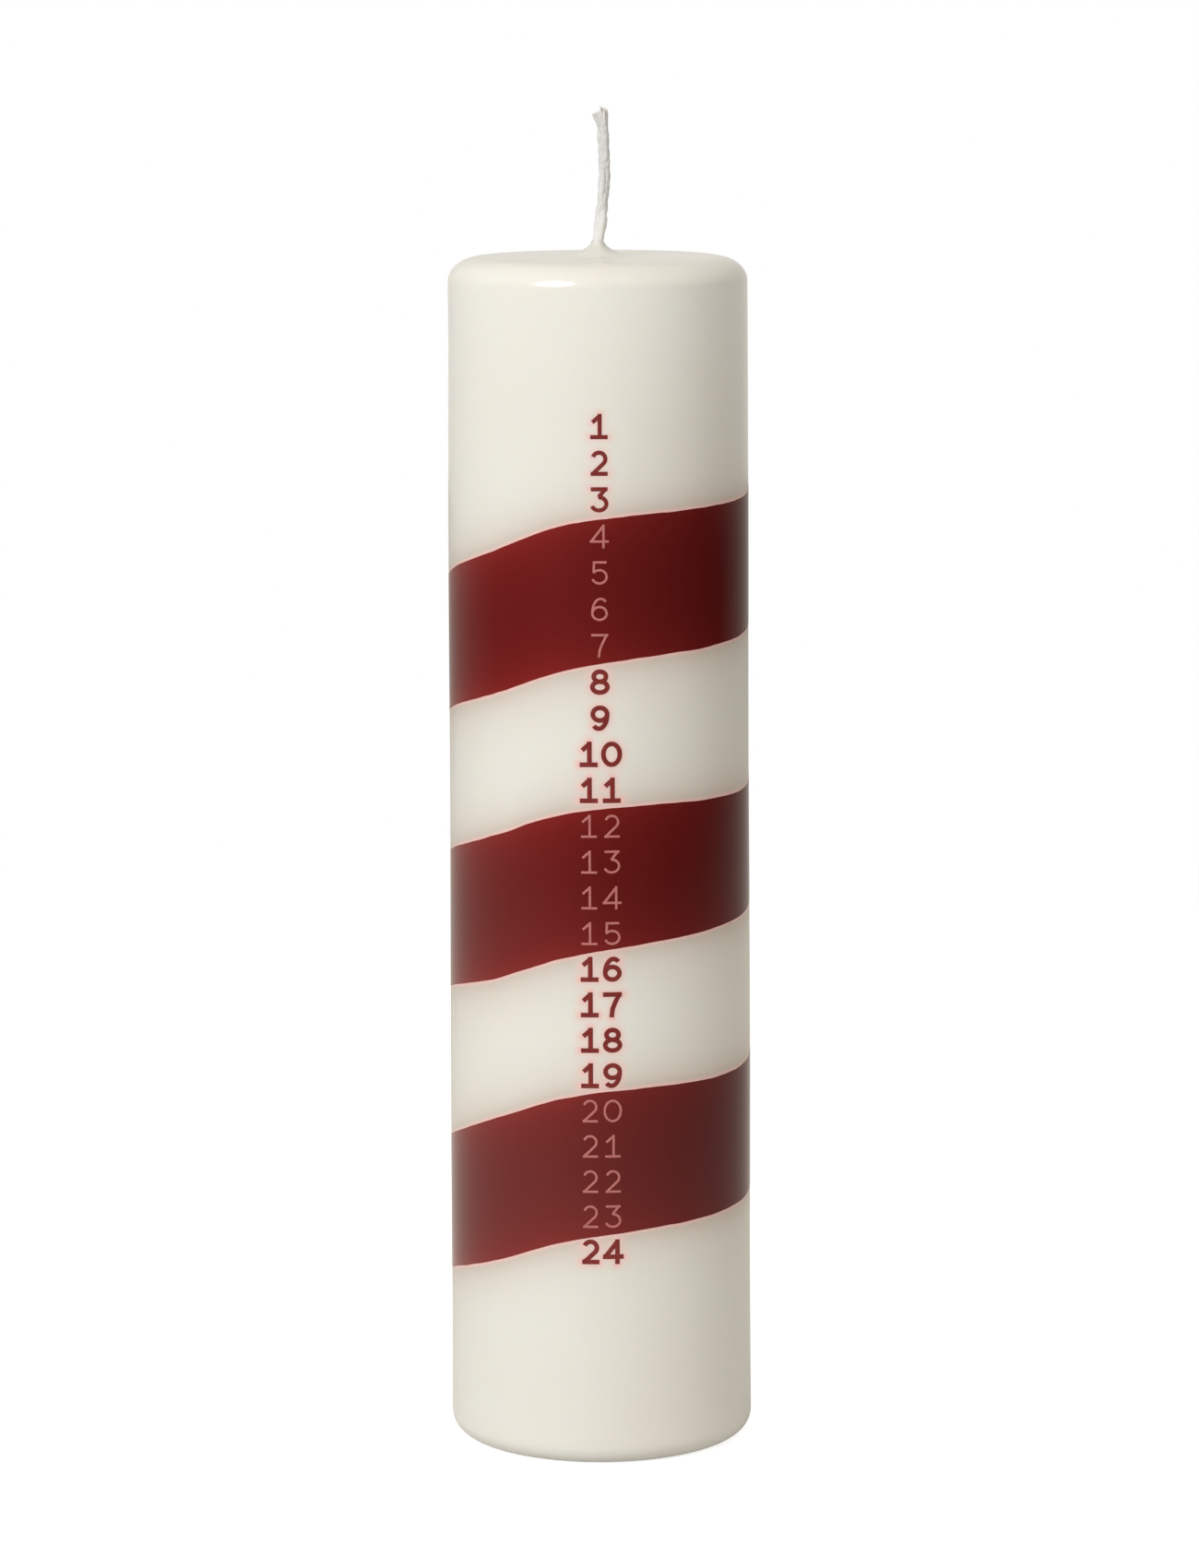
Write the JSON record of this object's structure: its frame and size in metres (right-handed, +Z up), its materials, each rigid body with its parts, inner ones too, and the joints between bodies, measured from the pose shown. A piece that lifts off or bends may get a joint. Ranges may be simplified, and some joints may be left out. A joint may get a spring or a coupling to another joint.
{
  "type": "calendar candle",
  "caption": "Tall ivory pillar candle with a red spiral stripe and a column of day numbers; burns down one number a day.",
  "frame": {"origin": "centre of the base, on the surface that the candle stands on", "axes": "+Z up along the candle, numbers facing -Y, +X to the right of someone who reads them"},
  "size_m": [0.0615, 0.0617, 0.2695],
  "materials": {
    "ivory_wax": "glossy dipped wax, slightly translucent",
    "core_wax": "plain poured wax",
    "red_wax": "glossy dark red wax",
    "red_ink": "printed, satin",
    "pale_ink": "printed, satin",
    "wick_cotton": "braided cotton soaked in wax",
    "tinplate": "thin pressed sheet"
  },
  "bodies": {
    "root": {"ivory_overdip": "ivory_wax", "wax_core": "core_wax", "wick": "wick_cotton", "wick_foot": "tinplate", "red_stripe": "red_wax", "number_01": "red_ink", "number_02": "red_ink", "number_03": "red_ink", "number_04": "pale_ink", "number_05": "pale_ink", "number_06": "pale_ink", "number_07": "pale_ink", "number_08": "red_ink", "number_09": "red_ink", "number_10_tens": "red_ink", "number_10_units": "red_ink", "number_11_tens": "red_ink", "number_11_units": "red_ink", "number_12_tens": "pale_ink", "number_12_units": "pale_ink", "number_13_tens": "pale_ink", "number_13_units": "pale_ink", "number_14_tens": "pale_ink", "number_14_units": "pale_ink", "number_15_tens": "pale_ink", "number_15_units": "pale_ink", "number_16_tens": "red_ink", "number_16_units": "red_ink", "number_17_tens": "red_ink", "number_17_units": "red_ink", "number_18_tens": "red_ink", "number_18_units": "red_ink", "number_19_tens": "red_ink", "number_19_units": "red_ink", "number_20_tens": "pale_ink", "number_20_units": "pale_ink", "number_21_tens": "pale_ink", "number_21_units": "pale_ink", "number_22_tens": "pale_ink", "number_22_units": "pale_ink", "number_23_tens": "pale_ink", "number_23_units": "pale_ink", "number_24_tens": "red_ink", "number_24_units": "red_ink"}
  },
  "joints": []
}
